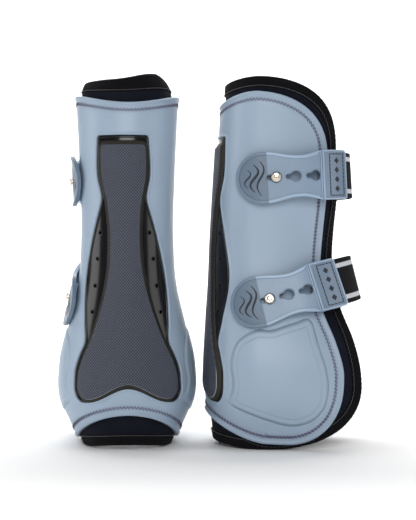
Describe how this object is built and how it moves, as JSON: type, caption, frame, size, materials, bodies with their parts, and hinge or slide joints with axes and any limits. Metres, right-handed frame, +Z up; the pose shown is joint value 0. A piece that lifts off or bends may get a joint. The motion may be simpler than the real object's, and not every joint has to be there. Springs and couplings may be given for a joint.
{
  "type": "tendon boots",
  "caption": "Pair of horse tendon boots: moulded shells over bound neoprene liners, strike pads, and elastic straps with keyholed tabs on metal studs.",
  "frame": {"origin": "middle of the pair's box, on the ground", "axes": "+Z up along the boots, +X from the left boot to the right boot, -Y towards the left boot's back and the right boot's outer side"},
  "size_m": [0.2188, 0.1222, 0.2603],
  "materials": {
    "shell": "satin moulded polyurethane, pale blue-grey",
    "liner": "neoprene with a knitted navy-black face",
    "binding": "black folded edge tape",
    "base": "glossy black thermoplastic",
    "pad": "slate rubber-like moulding with a fine diamond lattice",
    "tab": "satin moulded polyurethane, light blue",
    "elastic": "black woven elastic with two white stripes",
    "metal": "polished nickel, slightly warm"
  },
  "bodies": {
    "left_boot": {"left_shell": "shell", "left_liner": "liner", "left_liner_binding": "binding", "left_strike_base": "base", "left_strike_pad": "pad", "left_upper_stud": "metal", "left_upper_stud_washer": "metal", "left_lower_stud": "metal", "left_lower_stud_washer": "metal"},
    "right_boot": {"right_shell": "shell", "right_liner": "liner", "right_liner_binding": "binding", "right_strike_base": "base", "right_strike_pad": "pad", "right_upper_stud": "metal", "right_upper_stud_washer": "metal", "right_lower_stud": "metal", "right_lower_stud_washer": "metal"},
    "left_upper_strap": {"left_upper_tab_plate": "tab", "left_upper_elastic_tail": "elastic", "left_upper_elastic": "elastic"},
    "left_upper_flap": {"left_upper_tab": "tab"},
    "left_lower_strap": {"left_lower_tab_plate": "tab", "left_lower_elastic_tail": "elastic", "left_lower_elastic": "elastic"},
    "left_lower_flap": {"left_lower_tab": "tab"},
    "right_upper_strap": {"right_upper_tab_plate": "tab", "right_upper_elastic_tail": "elastic", "right_upper_elastic": "elastic"},
    "right_upper_flap": {"right_upper_tab": "tab"},
    "right_lower_strap": {"right_lower_tab_plate": "tab", "right_lower_elastic_tail": "elastic", "right_lower_elastic": "elastic"},
    "right_lower_flap": {"right_lower_tab": "tab"}
  },
  "joints": [
    {"name": "right_boot_lift_off", "type": "slide", "parent": "left_boot", "child": "right_boot", "axis": [0, 0, 1], "range_m": [0, 0.2]},
    {"name": "left_upper_strap_pull", "type": "slide", "parent": "left_boot", "child": "left_upper_strap", "axis": [-0.0679, 0.996, 0.0576], "range_m": [-0.0015, 0.0038], "stiffness_N_per_m": 400, "deforming": ["left_upper_elastic"]},
    {"name": "left_upper_tab_lift", "type": "hinge", "parent": "left_upper_strap", "child": "left_upper_flap", "pos_m": [-0.0982, 0.02799, 0.19047], "axis": [0.027, 0.0457, -0.9986], "range_deg": [0, 95], "stiffness_Nm_per_rad": 0.02},
    {"name": "left_lower_strap_pull", "type": "slide", "parent": "left_boot", "child": "left_lower_strap", "axis": [-0.066, 0.968, 0.2419], "range_m": [-0.0015, 0.0038], "stiffness_N_per_m": 400, "deforming": ["left_lower_elastic"]},
    {"name": "left_lower_tab_lift", "type": "hinge", "parent": "left_lower_strap", "child": "left_lower_flap", "pos_m": [-0.10205, 0.02215, 0.11301], "axis": [-0.1948, 0.2797, -0.9401], "range_deg": [0, 95], "stiffness_Nm_per_rad": 0.02},
    {"name": "right_upper_strap_pull", "type": "slide", "parent": "right_boot", "child": "right_upper_strap", "axis": [0.9966, -0.0592, 0.0576], "range_m": [-0.0015, 0.0038], "stiffness_N_per_m": 400, "deforming": ["right_upper_elastic"]},
    {"name": "right_upper_tab_lift", "type": "hinge", "parent": "right_upper_strap", "child": "right_upper_flap", "pos_m": [0.07686, -0.04961, 0.19047], "axis": [-0.0454, -0.0274, 0.9986], "range_deg": [0, 95], "stiffness_Nm_per_rad": 0.02},
    {"name": "right_lower_strap_pull", "type": "slide", "parent": "right_boot", "child": "right_lower_strap", "axis": [0.9686, -0.0575, 0.2419], "range_m": [-0.0015, 0.0038], "stiffness_N_per_m": 400, "deforming": ["right_lower_elastic"]},
    {"name": "right_lower_tab_lift", "type": "hinge", "parent": "right_lower_strap", "child": "right_lower_flap", "pos_m": [0.07106, -0.0535, 0.11301], "axis": [-0.2814, 0.1924, 0.9401], "range_deg": [0, 95], "stiffness_Nm_per_rad": 0.02}
  ]
}
